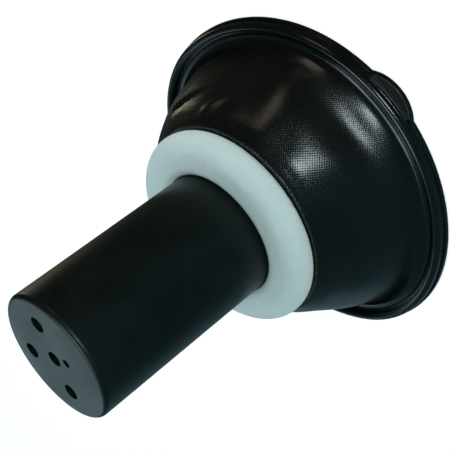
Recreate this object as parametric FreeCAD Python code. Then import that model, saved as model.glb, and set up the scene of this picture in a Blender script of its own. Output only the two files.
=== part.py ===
"""Vacuum slide of a constant-velocity carburettor, with its rubber diaphragm.

Frame: +Z runs along the slide's axis and points out of its drilled end. The origin is on that axis, in the
plane of the diaphragm rim's flat seating face, and +X points through the rim's locating tab. Millimetres.
A section is a closed outline in (radius, height), turned once around Z.
"""

import FreeCAD, Part
import math
import os

Vector = FreeCAD.Vector

# Slide: a cup with a drilled crown, a guide skirt, a press land for the ring and a clamping flange
TOTAL_HEIGHT = 65.5
SKIRT_RADIUS = 13.0
CROWN_THICKNESS = 3.2
CROWN_EDGE_RADIUS = 1.0
BORE_RADIUS = 11.0
SPRING_SEAT_RADIUS = 9.9
SPRING_SEAT_DEPTH = 2.0
PRESS_LAND_RADIUS = 13.2
PRESS_LAND_TOP = 24.8
FLANGE_RADIUS = 19.2
FLANGE_BOTTOM = 16.6
FLANGE_TOP = 18.9
FLANGE_EDGE_RADIUS = 0.6
MOUTH_CHAMFER = 0.5

# Holes in the crown: the needle's in the middle, three vacuum ports on one circle and a small bleed hole
NEEDLE_HOLE_RADIUS = 1.56
NEEDLE_BOSS_RADIUS = 2.75
NEEDLE_BOSS_HEIGHT = 1.6
PORT_RADIUS = 1.6
PORT_CIRCLE_RADIUS = 7.3
PORT_ANGLES = (60.0, 150.0, 240.0)
BLEED_RADIUS = 0.85
BLEED_CIRCLE_RADIUS = 3.8
BLEED_ANGLE = 330.0

# Groove in the flange's upper face, where the diaphragm's inner bead sits
GROOVE_INNER_RADIUS = 14.8
GROOVE_OUTER_RADIUS = 16.6
GROOVE_FLOOR = 17.8

# Retaining ring: pressed over the land, it clamps the diaphragm on the flange
RING_RADIUS = 20.8
RING_BOTTOM = 19.9
RING_TOP = 25.4
RING_WIDEST_HEIGHT = 22.1
RING_LOWER_SIDE_RADIUS = 3.8
RING_ROLL_START = 15.0
RING_BORE_LIP_HEIGHT = 24.6
RING_PRESS_GAP = 0.03

# Diaphragm: one moulding, held as an inner bead, a bell-shaped web and a rim bead with a tab
RUBBER_GAP = 0.1
INNER_BEAD_RADIUS = 19.2
WEB_THICKNESS = 0.5
WEB_CLAMP_HEIGHT = 19.4
BELL_TOP = (21.85, 18.8)
BELL_TOE = (29.95, 2.73)
BELL_BULGE = 0.95
TOE_RADIUS = 1.8
LAND_INNER_RADIUS = 31.8
LAND_OUTER_RADIUS = 32.75
LAND_BOTTOM = 1.1
LAND_TOP = 1.7
RIM_FOOT_RADIUS = 32.65
RIM_RADIUS = 35.6
RIM_LIP_HEIGHT = 0.9
RIM_GROOVE_FLOOR = 1.3
BEAD_CENTRE_RADIUS = 34.4
BEAD_HALF_WIDTH = 0.85
BEAD_TOP = 2.95
TAB_REACH = 38.1
TAB_RADIUS = 7.6
TAB_THICKNESS = 1.3


def outline(start, *steps):
    """A closed outline in the XZ plane: a step is a point for a line, or (middle, end) for an arc."""
    edges = []
    here = Vector(start[0], 0, start[1])
    for step in steps + (start,):
        if isinstance(step[0], tuple):
            middle = Vector(step[0][0], 0, step[0][1])
            there = Vector(step[1][0], 0, step[1][1])
            edges.append(Part.Arc(here, middle, there).toShape())
        else:
            there = Vector(step[0], 0, step[1])
            edges.append(Part.makeLine(here, there))
        here = there
    return Part.Face(Part.Wire(edges))


def turned(section):
    return section.revolve(Vector(0, 0, 0), Vector(0, 0, 1), 360)


def corner_arc(centre, radius, start_angle, end_angle):
    """The middle and end points of a round corner, for use as one step of an outline."""
    middle_angle = (start_angle + end_angle) / 2
    return tuple(
        (
            centre[0] + radius * math.cos(math.radians(angle)),
            centre[1] + radius * math.sin(math.radians(angle)),
        )
        for angle in (middle_angle, end_angle)
    )


def crown_hole(radius, circle_radius, angle):
    """A drill through the crown, at an angle in degrees from +X."""
    place = Vector(
        circle_radius * math.cos(math.radians(angle)),
        circle_radius * math.sin(math.radians(angle)),
        TOTAL_HEIGHT - 2 * CROWN_THICKNESS,
    )
    return Part.makeCylinder(radius, 3 * CROWN_THICKNESS, place)


def slide_body():
    ceiling = TOTAL_HEIGHT - CROWN_THICKNESS
    boss_end = ceiling - NEEDLE_BOSS_HEIGHT
    seat_end = ceiling - SPRING_SEAT_DEPTH
    crown_corner = (SKIRT_RADIUS - CROWN_EDGE_RADIUS, TOTAL_HEIGHT - CROWN_EDGE_RADIUS)
    flange_corner = (FLANGE_RADIUS - FLANGE_EDGE_RADIUS, FLANGE_TOP - FLANGE_EDGE_RADIUS)
    body = turned(
        outline(
            (0, boss_end),
            (NEEDLE_BOSS_RADIUS, boss_end),
            (NEEDLE_BOSS_RADIUS, ceiling),
            (SPRING_SEAT_RADIUS, ceiling),
            (SPRING_SEAT_RADIUS, seat_end),
            (BORE_RADIUS, seat_end),
            (BORE_RADIUS, FLANGE_BOTTOM + MOUTH_CHAMFER),
            (BORE_RADIUS + MOUTH_CHAMFER, FLANGE_BOTTOM),
            (FLANGE_RADIUS, FLANGE_BOTTOM),
            (FLANGE_RADIUS, flange_corner[1]),
            corner_arc(flange_corner, FLANGE_EDGE_RADIUS, 0, 90),
            (GROOVE_OUTER_RADIUS, FLANGE_TOP),
            (GROOVE_OUTER_RADIUS, GROOVE_FLOOR),
            (GROOVE_INNER_RADIUS, GROOVE_FLOOR),
            (GROOVE_INNER_RADIUS, FLANGE_TOP),
            (PRESS_LAND_RADIUS, FLANGE_TOP),
            (PRESS_LAND_RADIUS, PRESS_LAND_TOP),
            (SKIRT_RADIUS, PRESS_LAND_TOP),
            (SKIRT_RADIUS, crown_corner[1]),
            corner_arc(crown_corner, CROWN_EDGE_RADIUS, 0, 90),
            (0, TOTAL_HEIGHT),
        )
    )
    holes = [crown_hole(NEEDLE_HOLE_RADIUS, 0, 0)]
    holes.append(crown_hole(BLEED_RADIUS, BLEED_CIRCLE_RADIUS, BLEED_ANGLE))
    for angle in PORT_ANGLES:
        holes.append(crown_hole(PORT_RADIUS, PORT_CIRCLE_RADIUS, angle))
    return body.cut(holes)


def retaining_ring():
    """A D-shaped ring: flat below, rounded outside, its upper inner edge rolled in to the skirt."""
    bore = PRESS_LAND_RADIUS + RING_PRESS_GAP
    lower_centre = (RING_RADIUS - RING_LOWER_SIDE_RADIUS, RING_WIDEST_HEIGHT)
    lower_angle = math.degrees(math.asin((RING_BOTTOM - RING_WIDEST_HEIGHT) / RING_LOWER_SIDE_RADIUS))
    lower_edge = RING_RADIUS - RING_LOWER_SIDE_RADIUS * (1 - math.cos(math.radians(lower_angle)))
    upper_side_radius = RING_TOP - RING_WIDEST_HEIGHT
    upper_centre = (RING_RADIUS - upper_side_radius, RING_WIDEST_HEIGHT)
    roll_run = RING_ROLL_START - bore
    roll_drop = RING_TOP - RING_BORE_LIP_HEIGHT
    roll_radius = (roll_run**2 + roll_drop**2) / (2 * roll_drop)
    roll_centre = (RING_ROLL_START, RING_TOP - roll_radius)
    roll_angle = 90 + math.degrees(math.asin(roll_run / roll_radius))
    return turned(
        outline(
            (bore, RING_BOTTOM),
            (lower_edge, RING_BOTTOM),
            corner_arc(lower_centre, RING_LOWER_SIDE_RADIUS, lower_angle, 0),
            corner_arc(upper_centre, upper_side_radius, 0, 90),
            (RING_ROLL_START, RING_TOP),
            corner_arc(roll_centre, roll_radius, 90, roll_angle),
        )
    )


def inner_bead():
    """The diaphragm's inner edge: a thin washer with a rib below it that fills the flange's groove."""
    return turned(
        outline(
            (PRESS_LAND_RADIUS, FLANGE_TOP),
            (GROOVE_INNER_RADIUS, FLANGE_TOP),
            (GROOVE_INNER_RADIUS, GROOVE_FLOOR),
            (GROOVE_OUTER_RADIUS, GROOVE_FLOOR),
            (GROOVE_OUTER_RADIUS, FLANGE_TOP),
            (INNER_BEAD_RADIUS, FLANGE_TOP),
            (INNER_BEAD_RADIUS, RING_BOTTOM),
            (PRESS_LAND_RADIUS, RING_BOTTOM),
        )
    )


def web_side(offset):
    """One face of the web, as points from the clamp out to the rim, each offset square to the web.

    The slope is measured from straight down: 90 degrees is level. The bell's flank is a shallow arc between
    its top and its toe, and a tight shoulder and a wider toe turn it level at each end.
    """
    run = BELL_TOE[0] - BELL_TOP[0]
    drop = BELL_TOP[1] - BELL_TOE[1]
    chord = math.hypot(run, drop)
    chord_slope = math.degrees(math.atan2(run, drop))
    half_turn = math.degrees(2 * math.atan(2 * BELL_BULGE / chord))
    top_slope = chord_slope + half_turn
    toe_slope = chord_slope - half_turn
    bulge_point = (
        (BELL_TOP[0] + BELL_TOE[0]) / 2 + BELL_BULGE * drop / chord,
        (BELL_TOP[1] + BELL_TOE[1]) / 2 + BELL_BULGE * run / chord,
    )

    shoulder_radius = (WEB_CLAMP_HEIGHT - BELL_TOP[1]) / (1 - math.sin(math.radians(top_slope)))
    shoulder_start = BELL_TOP[0] - shoulder_radius * math.cos(math.radians(top_slope))
    shoulder_mid_slope = (90 + top_slope) / 2
    shoulder_middle = (
        shoulder_start + shoulder_radius * math.cos(math.radians(shoulder_mid_slope)),
        WEB_CLAMP_HEIGHT - shoulder_radius * (1 - math.sin(math.radians(shoulder_mid_slope))),
    )

    toe_mid_slope = (90 + toe_slope) / 2
    toe_points = [
        (
            BELL_TOE[0] + TOE_RADIUS * (math.cos(math.radians(toe_slope)) - math.cos(math.radians(slope))),
            BELL_TOE[1] - TOE_RADIUS * (math.sin(math.radians(slope)) - math.sin(math.radians(toe_slope))),
        )
        for slope in (toe_mid_slope, 90)
    ]

    path = [
        ((INNER_BEAD_RADIUS + RUBBER_GAP, WEB_CLAMP_HEIGHT), 90),
        ((shoulder_start, WEB_CLAMP_HEIGHT), 90),
        (shoulder_middle, shoulder_mid_slope),
        (BELL_TOP, top_slope),
        (bulge_point, chord_slope),
        (BELL_TOE, toe_slope),
        (toe_points[0], toe_mid_slope),
        (toe_points[1], 90),
    ]
    return [
        (
            point[0] + offset * math.cos(math.radians(slope)),
            point[1] + offset * math.sin(math.radians(slope)),
        )
        for point, slope in path
    ]


def diaphragm_web():
    outer = web_side(WEB_THICKNESS / 2)
    inner = web_side(-WEB_THICKNESS / 2)
    return turned(
        outline(
            outer[0],
            outer[1],
            (outer[2], outer[3]),
            (outer[4], outer[5]),
            (outer[6], outer[7]),
            inner[7],
            (inner[6], inner[5]),
            (inner[4], inner[3]),
            (inner[2], inner[1]),
            inner[0],
        )
    )


def rim_bead():
    """The diaphragm's outer edge: a seating foot with a thin lip, a rounded bead and a locating tab."""
    round_centre_height = BEAD_TOP - BEAD_HALF_WIDTH
    bead_outside = BEAD_CENTRE_RADIUS + BEAD_HALF_WIDTH
    bead_inside = BEAD_CENTRE_RADIUS - BEAD_HALF_WIDTH
    rim = turned(
        outline(
            (LAND_INNER_RADIUS, LAND_BOTTOM),
            (RIM_FOOT_RADIUS, LAND_BOTTOM),
            (RIM_FOOT_RADIUS, 0),
            (RIM_RADIUS, 0),
            (RIM_RADIUS, RIM_LIP_HEIGHT),
            (bead_outside, RIM_LIP_HEIGHT),
            (bead_outside, round_centre_height),
            ((BEAD_CENTRE_RADIUS, BEAD_TOP), (bead_inside, round_centre_height)),
            (bead_inside, RIM_GROOVE_FLOOR),
            (LAND_OUTER_RADIUS, RIM_GROOVE_FLOOR),
            (LAND_OUTER_RADIUS, LAND_TOP),
            (LAND_INNER_RADIUS, LAND_TOP),
        )
    )
    ear = Part.makeCylinder(TAB_RADIUS, TAB_THICKNESS, Vector(TAB_REACH - TAB_RADIUS, 0, 0))
    inside_rim = Part.makeCylinder(BEAD_CENTRE_RADIUS, TAB_THICKNESS)
    return rim.fuse(ear.cut(inside_rim)).removeSplitter()


NODES = {
    "slide_body": slide_body,
    "retaining_ring": retaining_ring,
    "inner_bead": inner_bead,
    "diaphragm_web": diaphragm_web,
    "rim_bead": rim_bead,
}

os.makedirs("parts", exist_ok=True)
for name, make in NODES.items():
    make().exportStep(f"parts/{name}.step")
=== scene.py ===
"""Looks of a carburettor vacuum slide: black plastic slide, milky nylon ring, black fabric-reinforced rubber.

The diaphragm is one moulding, built here as a closed thin shell.
"""

import math

import bpy
import numpy as np
from mathutils import Matrix, Vector


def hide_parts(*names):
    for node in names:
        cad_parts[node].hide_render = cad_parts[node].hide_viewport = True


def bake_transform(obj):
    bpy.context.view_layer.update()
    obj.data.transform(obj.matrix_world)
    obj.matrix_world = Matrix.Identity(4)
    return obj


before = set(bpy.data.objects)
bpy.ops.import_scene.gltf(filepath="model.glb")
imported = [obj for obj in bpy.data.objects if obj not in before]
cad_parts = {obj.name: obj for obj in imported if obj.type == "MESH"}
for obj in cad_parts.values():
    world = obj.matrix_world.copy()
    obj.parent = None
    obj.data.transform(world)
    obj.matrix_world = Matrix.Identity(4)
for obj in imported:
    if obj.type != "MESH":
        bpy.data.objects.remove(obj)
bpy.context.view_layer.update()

MM = 0.001

# Camera: it looks along a level azimuth and a dip, and is rolled about its own axis
CAMERA_AZIMUTH = 89.4
CAMERA_ELEVATION = 31.0
CAMERA_ROLL = -127.5
CAMERA_DISTANCE = 0.1992
CAMERA_AIM = Vector((-0.00084, 0.00021, 0.02139))
CAMERA_LENS = 81.35
CAMERA_SENSOR = 36

# Floor, and a round wall behind it that only the camera sees, in metres
FLOOR_HALF_SIDE = 3.0
FLOOR_HEIGHT = -0.0001
FLOOR_REFLECTED = 0.6
FLOOR_GLOW = 0.62
WALL_RADIUS = 2.9
WALL_BOTTOM = -0.01
WALL_TOP = 3.0
WALL_SIDES = 64
WALL_GLOW = 0.93

# Light panels: name, azimuth and elevation they shine from, distance, width, height, watts, colour
LIGHTS = (
    ("key", 2, 30, 0.6, 0.15, 0.12, 1.3, (0.82, 0.97, 1.0)),
    ("back_soft", 180, 20, 0.9, 0.7, 0.36, 0.82, (0.66, 0.92, 1.0)),
    ("top_soft", 178, 78, 0.8, 0.4, 0.4, 2.6, (0.80, 0.97, 1.0)),
    ("side_warm", 59, 12, 0.7, 0.20, 0.28, 0.27, (1.0, 0.83, 0.68)),
    ("pleat", 133, -12, 0.7, 0.16, 0.07, 0.16, (1.0, 0.95, 0.66)),
    ("fill", 25, 58, 1.0, 1.4, 1.4, 4.5, (0.95, 1.0, 1.0)),
)
# Panels that brighten the ring without leaving a highlight on the black parts
UNMIRRORED_LIGHTS = ("fill",)

# Room that the black parts mirror: cool to warm from -Y to +Y, with a pale patch low down
ROOM_COOL = (0.055, 0.126, 0.146)
ROOM_WARM = (0.035, 0.032, 0.022)
ROOM_PATCH = (0.15, 0.26, 0.30)
ROOM_PATCH_TOWARDS = (-145, -24)

# Diaphragm: sections around the axis, how much closer they stand across the tab, and the web's thickness
AROUND = 720
CLOSER_BY = 9.0
CLOSER_HALF_ANGLE = 60
SHELL = 0.5

# Woven ply: distance between the weave's knots, and the cloth's turn about the axis in degrees
FABRIC_PITCH = 0.42
FABRIC_TURN = 38.0

# Bell's outer face from the ring down to the rim's land, as (radius, height)
BELL = (
    (19.5, 19.66),
    (20.15, 19.69),
    (20.65, 19.76),
    (21.15, 19.66),
    (21.7, 19.26),
    (22.4, 18.55),
    (23.96, 16.75),
    (26.3, 12.85),
    (28.15, 8.95),
    (29.45, 5.4),
    (30.2, 3.5),
    (30.95, 2.35),
    (31.65, 1.82),
    (32.1, 1.7),
)
BELL_STEP = 0.42
BELL_INSIDE_END = 31.75

# Rim: land, groove beside it, sealing bead, thin lip, and flat foot on the seating plane
LAND = ((32.35, 1.7), (32.62, 1.7))
LAND_CORNER = (32.62, 1.58)
LAND_CORNER_RADIUS = 0.12
GROOVE = ((32.78, 1.36), (32.9, 1.3), (33.35, 1.3), (33.52, 1.4))
BEAD_CENTRE = (34.4, 2.1)
BEAD_RADIUS = 0.85
LIP_STEP_DOWN = ((35.25, 1.35), (35.26, 1.05), (35.29, 0.93), (35.32, 0.9))
LIP_POINTS = 9
LIP_SPACING = 0.02
LIP_CORNER = (35.52, 0.82)
LIP_CORNER_RADIUS = 0.08
FOOT = (
    (35.6, 0.08),
    (35.56, 0.0),
    (35.2, 0.0),
    (34.4, 0.0),
    (33.6, 0.0),
    (32.8, 0.0),
    (32.7, 0.04),
    (32.66, 0.12),
)
FOOT_INSIDE = ((32.64, 0.95), (32.58, 1.06), (32.4, 1.1), (31.9, 1.12))

# Flat washer that the ring clamps on the slide's flange
CLAMPED = (
    (19.2, 18.95),
    (19.12, 18.92),
    (17.5, 18.92),
    (15.5, 18.92),
    (13.5, 18.92),
    (13.35, 19.4),
    (13.5, 19.87),
    (15.5, 19.87),
    (17.5, 19.87),
    (19.1, 19.87),
    (19.25, 19.82),
    (19.32, 19.7),
)

# Rim's slightly sagged outline: moulded and mean radius, waves as (depth, number, turn),
# and flats as (angle, half width, depth)
RIM_RADIUS = 35.6
RIM_MEAN_RADIUS = 35.70
RIM_WAVES = ((0.61, 1, 100.0), (0.77, 2, 34.0), (0.56, 3, -14.0))
RIM_FLATS = ((-130.0, 25.0, 1.9), (-40.0, 25.0, 0.2))

# Locating tab: centre of its round outline, radius, thickness above the lip, and how it thins outwards
EAR_CENTRE = 30.5
EAR_RADIUS = 7.6
EAR_HALF_ANGLE = 0.5
EAR_EXTRA_REACH = 0.25
EAR_RISE = 0.4
EAR_RISE_WITHIN = 0.5
EAR_THINNING = 0.45
EAR_LENGTH = 2.8
EAR_ROOT = 35.3
EAR_ROOT_WIDTH = 0.2
EAR_TOP_FROM_RADIUS = 35.24
EAR_TOP_HEIGHTS = (0.5, 1.1)

# Lean of the bell's middle towards -X and +Y, fading out at the ring and at the rim
LEAN_X = -0.54
LEAN_Y = 0.58
LEAN_FROM_RADIUS = 19.4
LEAN_TO_RADIUS = 31.5

# Long soft crease from the rim up to the ring, with a valley beside it; it turns as it goes down
CREASE_ANGLE = 24.0
CREASE_ANGLE_HEIGHT = 14.8
CREASE_TURN_PER_MM = 5 / 12.3
CREASE_RISE = (0.24, 6.5, 9.5, 7.0)
CREASE_VALLEY = (0.35, 8.0, 10.5, 7.0)
CREASE_VALLEY_OFFSET = 13.0

# Dents: angle, half width, height, half height, and how far they stand out
DENTS = (
    # wide hollow above the tab, which leaves the web flaring out to the rim
    (-1.0, 21.0, 7.3, 3.2, -1.25),
    # faint rise below the ring, with a hollow beside it
    (1.5, 7.0, 16.4, 3.2, 0.04),
    (14.0, 7.0, 15.5, 4.0, -0.22),
    # hollow beyond the pleats
    (100.0, 14.0, 15.5, 5.0, -0.35),
)

# Pleats that slant round the side of the bell towards the ring:
# angle, height, how the angle drifts with height, half width, depth and half length
PLEATS = (
    (78.0, 14.5, 7.5, 3.0, 0.42, 1.9),
    (84.0, 15.7, 3.5, 2.4, 0.28, 1.5),
    (54.5, 16.8, 1.8, 3.1, 0.38, 2.2),
)
PLEAT_FOLD_OFFSET = 1.9
PLEAT_FOLD_WIDTH = 1.2
PLEAT_FOLD_DEPTH = 0.6

# Slow waves all round: depth, number, phase, twist with height, height, half height
WAVES = (
    (0.16, 5, 0.7, 0.0, 12.0, 6.5),
    (0.10, 9, 2.1, 0.12, 9.0, 6.0),
    (0.05, 17, 0.4, -0.25, 13.0, 6.0),
)

# Where the crease, dents, pleats and waves start, and over what distance they grow to full depth:
# upwards from the rim, downwards from the clamp, and outwards from the clamp
FREE_ABOVE = (2.0, 3.0)
FREE_BELOW = (20.6, 1.6)
FREE_OUTSIDE = (20.4, 1.2)

# How far the web's face leans back, in radians: at the rim, and more up to the ring
FACE_LEAN = 0.3
FACE_LEAN_GAIN = 0.35
FACE_LEAN_HEIGHTS = (1.5, 18.0)

# Stretches of the diaphragm's section
OUTSIDE, RIM, INSIDE, WASHER = range(4)


# ---------------------------------------------------------------- diaphragm


def spline(points, spacing):
    """A smooth line through (radius, height) points, cut into steps of about one spacing."""
    p = np.array(points, float)
    ends = np.vstack([2 * p[0] - p[1], p, 2 * p[-1] - p[-2]])
    out = []
    for a, b, c, d in zip(ends[:-3], ends[1:-2], ends[2:-1], ends[3:]):
        count = max(2, int(round(np.linalg.norm(c - b) / spacing)))
        t = np.linspace(0, 1, count, endpoint=False)[:, None]
        square = (2 * a - 5 * b + 4 * c - d) * t**2
        cube = (3 * b - a - 3 * c + d) * t**3
        out.append(0.5 * (2 * b + (c - a) * t + square + cube))
    return np.vstack(out + [p[-1:]])


def arc(centre, radius, start, end, count):
    a = np.radians(np.linspace(start, end, count))
    return np.stack([centre[0] + radius * np.cos(a), centre[1] + radius * np.sin(a)], 1)


def offset(line, distance):
    """A line moved sideways by a distance, square to itself."""
    t = np.gradient(line, axis=0)
    t /= np.linalg.norm(t, axis=1)[:, None]
    return line + distance * np.stack([-t[:, 1], t[:, 0]], 1)


def section():
    """The diaphragm's round section as a closed loop, outer face first, and each point's stretch of it."""
    bell = spline(BELL, BELL_STEP)
    lip_start, lip_height = LIP_STEP_DOWN[-1]
    rim = np.vstack(
        [
            LAND,
            arc(LAND_CORNER, LAND_CORNER_RADIUS, 70, 0, 3),
            GROOVE,
            arc(BEAD_CENTRE, BEAD_RADIUS, 180, 0, 17),
            LIP_STEP_DOWN,
            [(lip_start + LIP_SPACING * k, lip_height) for k in range(1, LIP_POINTS + 1)],
            arc(LIP_CORNER, LIP_CORNER_RADIUS, 70, 0, 3),
            FOOT,
            FOOT_INSIDE,
        ]
    )
    inside = offset(bell, -SHELL)[::-1]
    inside = inside[inside[:, 0] < BELL_INSIDE_END]
    stretches = ((OUTSIDE, bell), (RIM, rim), (INSIDE, inside), (WASHER, np.array(CLAMPED)))
    loop = np.vstack([points for _, points in stretches])
    kinds = np.concatenate([np.full(len(points), kind) for kind, points in stretches])
    return loop, kinds


def smooth(x):
    x = np.clip(x, 0, 1)
    return x * x * (3 - 2 * x)


def bump(x, width):
    return np.exp(-((x / width) ** 2))


def turn(a, b):
    """The signed angle from b to a in degrees, within half a turn."""
    return (a - b + 180) % 360 - 180


def dents(phi, z):
    """How far the web stands out from its moulded shape, in millimetres, at an angle and a height."""
    d = np.zeros(np.broadcast(phi, z).shape)
    line = CREASE_ANGLE + CREASE_TURN_PER_MM * (CREASE_ANGLE_HEIGHT - z)
    rise, width, height, reach = CREASE_RISE
    d += rise * bump(turn(phi, line), width) * bump(z - height, reach)
    depth, width, height, reach = CREASE_VALLEY
    d -= depth * bump(turn(phi, line + CREASE_VALLEY_OFFSET), width) * bump(z - height, reach)
    for angle, width, height, reach, out in DENTS:
        d += out * bump(turn(phi, angle), width) * bump(z - height, reach)
    for angle, height, drift, width, depth, reach in PLEATS:
        across = turn(phi, angle + drift * (z - height))
        fold = PLEAT_FOLD_DEPTH * bump(across + PLEAT_FOLD_OFFSET * width, PLEAT_FOLD_WIDTH * width)
        d += depth * (bump(across, width) - fold) * bump(z - height, reach)
    a = np.radians(phi)
    for depth, number, phase, twist, height, reach in WAVES:
        d += depth * np.sin(number * a + phase + twist * z) * bump(z - height, reach)
    return d


def rim_radius(phi):
    """The rim's outline: an oval with a third wave, off centre, and flattened in places."""
    a = np.radians(phi)
    r = RIM_MEAN_RADIUS
    for depth, number, angle in RIM_WAVES:
        r = r + depth * np.cos(number * (a + math.radians(angle)))
    for angle, width, depth in RIM_FLATS:
        r = r - depth * bump(turn(phi, angle), width)
    return r


def ear_radius(phi):
    """The locating tab's round outline as a radius from the axis, or 0 beside it."""
    a = np.radians(turn(phi, 0))
    under = EAR_RADIUS**2 - (EAR_CENTRE * np.sin(a)) ** 2
    reach = EAR_EXTRA_REACH + EAR_CENTRE * np.cos(a) + np.sqrt(np.maximum(under, 0))
    in_front = np.abs(a) < EAR_HALF_ANGLE
    return np.where((under > 0) & in_front, reach, 0)


def swept(loop, kinds, phi):
    """The diaphragm's points as x, y, z grids in millimetres, with a row for each angle around the axis."""
    radius, height = loop[:, 0], loop[:, 1]
    r = np.broadcast_to(radius, (len(phi), len(loop))).copy()
    z = np.broadcast_to(height, (len(phi), len(loop))).copy()

    # the tab: the lip's outer edge follows the ear, at the ear's own thickness
    sag = rim_radius(phi) - RIM_RADIUS
    stands = np.clip(ear_radius(phi) - sag - RIM_RADIUS, 0, None)
    share = np.where(kinds == RIM, np.clip((radius - EAR_ROOT) / EAR_ROOT_WIDTH, 0, 1), 0)
    r += stands * share
    low, high = EAR_TOP_HEIGHTS
    top = (kinds == RIM) & (radius > EAR_TOP_FROM_RADIUS) & (height > low) & (height < high)
    z += np.where(top, EAR_RISE, 0) * smooth(stands / EAR_RISE_WITHIN)
    z -= np.where(top, EAR_THINNING, 0) * stands / EAR_LENGTH * share

    # the web's dents, square to its face, fading out at the clamp and at the rim
    free = smooth((height - FREE_ABOVE[0]) / FREE_ABOVE[1]) * smooth((FREE_BELOW[0] - height) / FREE_BELOW[1])
    free = free * smooth((radius - FREE_OUTSIDE[0]) / FREE_OUTSIDE[1])
    free = np.where((kinds == OUTSIDE) | (kinds == INSIDE), free, 0)
    face = FACE_LEAN + FACE_LEAN_GAIN * np.clip((height - FACE_LEAN_HEIGHTS[0]) / FACE_LEAN_HEIGHTS[1], 0, 1)
    out = dents(phi, height[None, :]) * free
    r += out * np.cos(face)
    z += out * np.sin(face)

    # the rim's outline and the bell's lean, both nothing at the ring
    down = smooth((radius - LEAN_FROM_RADIUS) / (LEAN_TO_RADIUS - LEAN_FROM_RADIUS))
    r += sag * down
    lean = 4 * down * (1 - down)
    a = np.radians(phi)
    return r * np.cos(a) + LEAN_X * lean, r * np.sin(a) + LEAN_Y * lean, z


def cloth_coordinates(loop, kinds, phi, z):
    """Where each point lies on the flat cloth, in millimetres, and its height."""
    run = np.concatenate([[0], np.cumsum(np.linalg.norm(np.diff(loop, axis=0), axis=1))])
    edge = int(np.argmin(loop[:, 1] + (kinds != RIM) * 99))
    along = np.where(np.arange(len(loop)) <= edge, run, 2 * run[edge] - run) + loop[0, 0]
    turned = np.radians(phi + FABRIC_TURN)
    return np.stack([along * np.cos(turned), along * np.sin(turned), z], -1)


def make_diaphragm():
    loop, kinds = section()
    count = len(loop)
    steps = np.linspace(-180, 180, AROUND, endpoint=False)
    phi = steps - CLOSER_BY * np.sin(np.radians(steps)) * bump(steps, CLOSER_HALF_ANGLE)
    phi = phi[:, None]
    x, y, z = swept(loop, kinds, phi)
    verts = np.stack([x, y, z], -1).reshape(-1, 3) * MM

    row = np.arange(AROUND)[:, None] * count
    next_row = ((np.arange(AROUND)[:, None] + 1) % AROUND) * count
    column = np.arange(count)[None, :]
    next_column = (column + 1) % count
    faces = np.stack(
        [row + column, next_row + column, next_row + next_column, row + next_column], -1
    ).reshape(-1, 4)

    mesh = bpy.data.meshes.new("diaphragm")
    mesh.vertices.add(len(verts))
    mesh.vertices.foreach_set("co", verts.astype(np.float32).ravel())
    mesh.loops.add(faces.size)
    mesh.loops.foreach_set("vertex_index", faces.ravel().astype(np.int32))
    mesh.polygons.add(len(faces))
    mesh.polygons.foreach_set("loop_start", (np.arange(len(faces)) * 4).astype(np.int32))
    mesh.polygons.foreach_set("use_smooth", np.ones(len(faces), bool))
    mesh.update(calc_edges=True)
    mesh.validate()

    flat = cloth_coordinates(loop, kinds, phi, z)
    cloth = mesh.attributes.new("cloth", "FLOAT_VECTOR", "POINT")
    cloth.data.foreach_set("vector", flat.reshape(-1, 3).astype(np.float32).ravel())

    ob = bpy.data.objects.new("diaphragm", mesh)
    bpy.context.scene.collection.objects.link(ob)
    return ob


# ---------------------------------------------------------------- materials


class Nodes:
    """The node tree of a material or world, with short calls for the nodes used here."""

    def __init__(self, owner):
        owner.use_nodes = True
        self.owner = owner
        self.tree = owner.node_tree

    def put(self, socket, value):
        if isinstance(value, bpy.types.NodeSocket):
            self.tree.links.new(value, socket)
        else:
            socket.default_value = value

    def set(self, name, value):
        self.put(self.tree.nodes["Principled BSDF"].inputs[name], value)

    def math(self, kind, a, b=0.0):
        node = self.tree.nodes.new("ShaderNodeMath")
        node.operation = kind
        self.put(node.inputs[0], a)
        self.put(node.inputs[1], b)
        return node.outputs[0]

    def noise(self, where, scale, detail=3.0, roughness=0.5):
        node = self.tree.nodes.new("ShaderNodeTexNoise")
        self.put(node.inputs["Vector"], where)
        node.inputs["Scale"].default_value = scale
        node.inputs["Detail"].default_value = detail
        node.inputs["Roughness"].default_value = roughness
        return node.outputs["Fac"]

    def ramp(self, value, low, high, start=0.0, end=1.0, kind="SMOOTHSTEP"):
        node = self.tree.nodes.new("ShaderNodeMapRange")
        node.interpolation_type = kind
        self.put(node.inputs["Value"], value)
        node.inputs["From Min"].default_value = low
        node.inputs["From Max"].default_value = high
        node.inputs["To Min"].default_value = start
        node.inputs["To Max"].default_value = end
        return node.outputs["Result"]

    def mix(self, share, a, b):
        node = self.tree.nodes.new("ShaderNodeMix")
        node.data_type = "RGBA"
        self.put(node.inputs["Factor"], share)
        for socket, value in ((node.inputs[6], a), (node.inputs[7], b)):
            self.put(socket, value if isinstance(value, bpy.types.NodeSocket) else (*value, 1))
        return node.outputs[2]

    def bump(self, height, strength, distance, under=None):
        node = self.tree.nodes.new("ShaderNodeBump")
        self.put(node.inputs["Height"], height)
        node.inputs["Strength"].default_value = strength
        node.inputs["Distance"].default_value = distance
        if under is not None:
            self.put(node.inputs["Normal"], under)
        return node.outputs["Normal"]

    def coordinates(self, kind):
        return self.tree.nodes.new("ShaderNodeTexCoord").outputs[kind]

    def attribute(self, name):
        node = self.tree.nodes.new("ShaderNodeAttribute")
        node.attribute_name = name
        return node.outputs["Vector"]

    def split(self, vector):
        node = self.tree.nodes.new("ShaderNodeSeparateXYZ")
        self.put(node.inputs[0], vector)
        return node.outputs

    def dot(self, vector, direction):
        node = self.tree.nodes.new("ShaderNodeVectorMath")
        node.operation = "DOT_PRODUCT"
        self.put(node.inputs[0], vector)
        node.inputs[1].default_value = direction
        return node.outputs["Value"]


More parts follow.
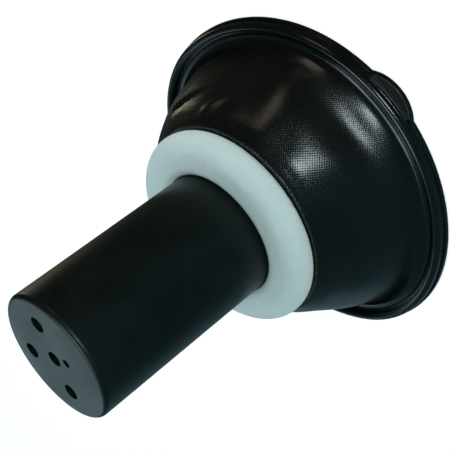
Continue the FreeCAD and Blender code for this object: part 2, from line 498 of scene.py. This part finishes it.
def plastic():
    """Moulded black: faint cloudiness and a fine grain that dulls the shine."""
    n = Nodes(bpy.data.materials.new("slide_plastic"))
    at = n.coordinates("Object")
    cloud = n.noise(at, scale=90, detail=4)
    grain = n.noise(at, scale=2200, detail=4, roughness=0.65)
    n.set("Base Color", n.mix(n.ramp(cloud, 0.3, 0.7), (0.0009, 0.0028, 0.0028), (0.0022, 0.0050, 0.0050)))
    n.set("Roughness", n.ramp(cloud, 0.25, 0.75, start=0.32, end=0.42))
    n.set("Specular IOR Level", 0.32)
    n.set("Normal", n.bump(grain, strength=0.5, distance=0.00005))
    return n.owner


def nylon():
    """Milky and slightly see-through, with a few paler specks."""
    n = Nodes(bpy.data.materials.new("ring_nylon"))
    at = n.coordinates("Object")
    cloud = n.noise(at, scale=70, detail=4)
    grain = n.noise(at, scale=1500, detail=4)
    speck = n.ramp(n.noise(at, scale=900, detail=1), 0.72, 0.78)
    body = n.mix(n.ramp(cloud, 0.3, 0.7), (0.50, 0.585, 0.58), (0.54, 0.625, 0.615))
    n.set("Base Color", n.mix(speck, body, (0.62, 0.68, 0.68)))
    n.set("Roughness", n.ramp(cloud, 0.25, 0.75, start=0.5, end=0.62))
    n.set("Specular IOR Level", 0.12)
    n.set("Subsurface Weight", 0.8)
    n.set("Subsurface Radius", (0.9, 1.0, 1.1))
    n.set("Subsurface Scale", 0.0016)
    n.set("Normal", n.bump(grain, strength=0.3, distance=0.00006))
    return n.owner


def rubber():
    """Thin glossy rubber with the woven ply's knots showing through, on the web but not on the rim."""
    n = Nodes(bpy.data.materials.new("diaphragm_rubber"))
    at = n.coordinates("Object")
    x, y, height = n.split(n.attribute("cloth"))
    scale = math.pi / FABRIC_PITCH
    warp = n.math("ABSOLUTE", n.math("SINE", n.math("MULTIPLY", x, scale)))
    weft = n.math("ABSOLUTE", n.math("SINE", n.math("MULTIPLY", y, scale)))
    knots = n.math("MULTIPLY", warp, weft)
    patch = n.noise(at, scale=140, detail=3)
    web = n.ramp(height, 2.2, 4.2)
    cloud = n.noise(at, scale=60, detail=4)
    grain = n.noise(at, scale=3000, detail=2)
    n.set("Base Color", n.mix(n.ramp(cloud, 0.3, 0.7), (0.0012, 0.0024, 0.0024), (0.0030, 0.0040, 0.0036)))
    valley = n.math("MULTIPLY", n.ramp(knots, 0.15, 0.7, start=0.12, end=0.0), web)
    n.set("Roughness", n.math("ADD", n.ramp(cloud, 0.25, 0.75, start=0.16, end=0.22), valley))
    n.set("Specular IOR Level", 0.5)
    raised = n.math("MULTIPLY", n.math("MULTIPLY", knots, n.ramp(patch, 0.2, 0.6, start=0.6, end=1.0)), web)
    woven = n.bump(raised, strength=0.6, distance=0.000018)
    n.set("Normal", n.bump(grain, strength=0.15, distance=0.00004, under=woven))
    return n.owner


def studio_white(name, reflected, glow):
    n = Nodes(bpy.data.materials.new(name))
    n.set("Base Color", (reflected, reflected, reflected, 1))
    n.set("Roughness", 0.9)
    n.set("Specular IOR Level", 0.0)
    n.set("Emission Color", (1.0, 1.0, 1.0, 1))
    n.set("Emission Strength", glow)
    return n.owner


# ---------------------------------------------------------------- the object

diaphragm = make_diaphragm()
diaphragm.data.materials.append(rubber())
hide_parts("rim_bead", "diaphragm_web", "inner_bead")
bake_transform(diaphragm)

for node, material, slot in (
    ("slide_body", plastic(), "slide_plastic"),
    ("retaining_ring", nylon(), "ring_nylon"),
):
    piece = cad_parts[node]
    for material_slot in piece.material_slots:
        material_slot.material = material


# ---------------------------------------------------------------- floor, wall, lights and camera


def direction(azimuth, elevation):
    """The unit vector towards an azimuth, measured from +X, and an elevation, measured from level."""
    a, e = math.radians(azimuth), math.radians(elevation)
    return Vector((math.cos(a) * math.cos(e), math.sin(a) * math.cos(e), math.sin(e)))


def staged(name, verts, faces, material):
    """A floor or wall, which the black parts don't mirror and which casts no shadow."""
    mesh = bpy.data.meshes.new(name)
    mesh.from_pydata(verts, [], faces)
    mesh.materials.append(material)
    ob = bpy.data.objects.new(name, mesh)
    ob.visible_glossy = False
    ob.visible_shadow = False
    bpy.context.scene.collection.objects.link(ob)
    return ob


def area_light(name, azimuth, elevation, distance, width, height, power, colour):
    """A soft panel that shines at the object from a direction."""
    data = bpy.data.lights.new(name, "AREA")
    data.shape = "RECTANGLE"
    data.size = width
    data.size_y = height
    data.energy = power
    data.color = colour
    ob = bpy.data.objects.new(name, data)
    back = direction(azimuth, elevation)
    ob.location = CAMERA_AIM + back * distance
    ob.rotation_mode = "QUATERNION"
    ob.rotation_quaternion = back.to_track_quat("Z", "Y")
    ob.visible_camera = False
    ob.visible_glossy = name not in UNMIRRORED_LIGHTS
    bpy.context.scene.collection.objects.link(ob)


def studio_world():
    """A dim room, cool on one side and warm on the other, with a pale patch low down."""
    n = Nodes(bpy.data.worlds.new("studio"))
    towards = n.coordinates("Generated")
    warm = n.ramp(n.split(towards)["Y"], -0.5, 0.7, kind="LINEAR")
    room = n.mix(warm, ROOM_COOL, ROOM_WARM)
    patch = n.ramp(n.dot(towards, direction(*ROOM_PATCH_TOWARDS)), 0.85, 0.98)
    n.put(n.tree.nodes["Background"].inputs["Color"], n.mix(patch, room, ROOM_PATCH))
    return n.owner


def make_camera():
    azimuth = math.radians(CAMERA_AZIMUTH)
    level = math.cos(math.radians(CAMERA_ELEVATION))
    forward = Vector(
        (-math.sin(azimuth) * level, math.cos(azimuth) * level, -math.sin(math.radians(CAMERA_ELEVATION)))
    )
    level_right = forward.cross(Vector((0, 0, 1))).normalized()
    level_up = level_right.cross(forward)
    roll = math.radians(CAMERA_ROLL)
    right = math.cos(roll) * level_right + math.sin(roll) * level_up
    up = right.cross(forward)
    data = bpy.data.cameras.new("camera")
    data.lens = CAMERA_LENS
    data.sensor_width = CAMERA_SENSOR
    data.clip_start = 0.01
    data.clip_end = 20
    camera = bpy.data.objects.new("camera", data)
    rotation = Matrix((right, up, -forward)).transposed().to_4x4()
    camera.matrix_world = Matrix.Translation(CAMERA_AIM - forward * CAMERA_DISTANCE) @ rotation
    bpy.context.scene.collection.objects.link(camera)
    return camera


half = FLOOR_HALF_SIDE
floor = staged(
    "floor",
    [(-half, -half, 0), (half, -half, 0), (half, half, 0), (-half, half, 0)],
    [(0, 1, 2, 3)],
    studio_white("floor_white", FLOOR_REFLECTED, FLOOR_GLOW),
)
floor.location.z = FLOOR_HEIGHT

wall_angles = [2 * math.pi * k / WALL_SIDES for k in range(WALL_SIDES)]
wall_ring = [(WALL_RADIUS * math.cos(a), WALL_RADIUS * math.sin(a)) for a in wall_angles]
wall = staged(
    "backdrop",
    [(x, y, WALL_BOTTOM) for x, y in wall_ring] + [(x, y, WALL_TOP) for x, y in wall_ring],
    [(k, (k + 1) % WALL_SIDES, WALL_SIDES + (k + 1) % WALL_SIDES, WALL_SIDES + k) for k in range(WALL_SIDES)],
    studio_white("wall_white", 0.0, WALL_GLOW),
)
wall.visible_diffuse = False
wall.visible_transmission = False

for light in LIGHTS:
    area_light(*light)

bpy.context.scene.world = studio_world()
bpy.context.scene.view_settings.view_transform = "Standard"
bpy.context.scene.camera = make_camera()
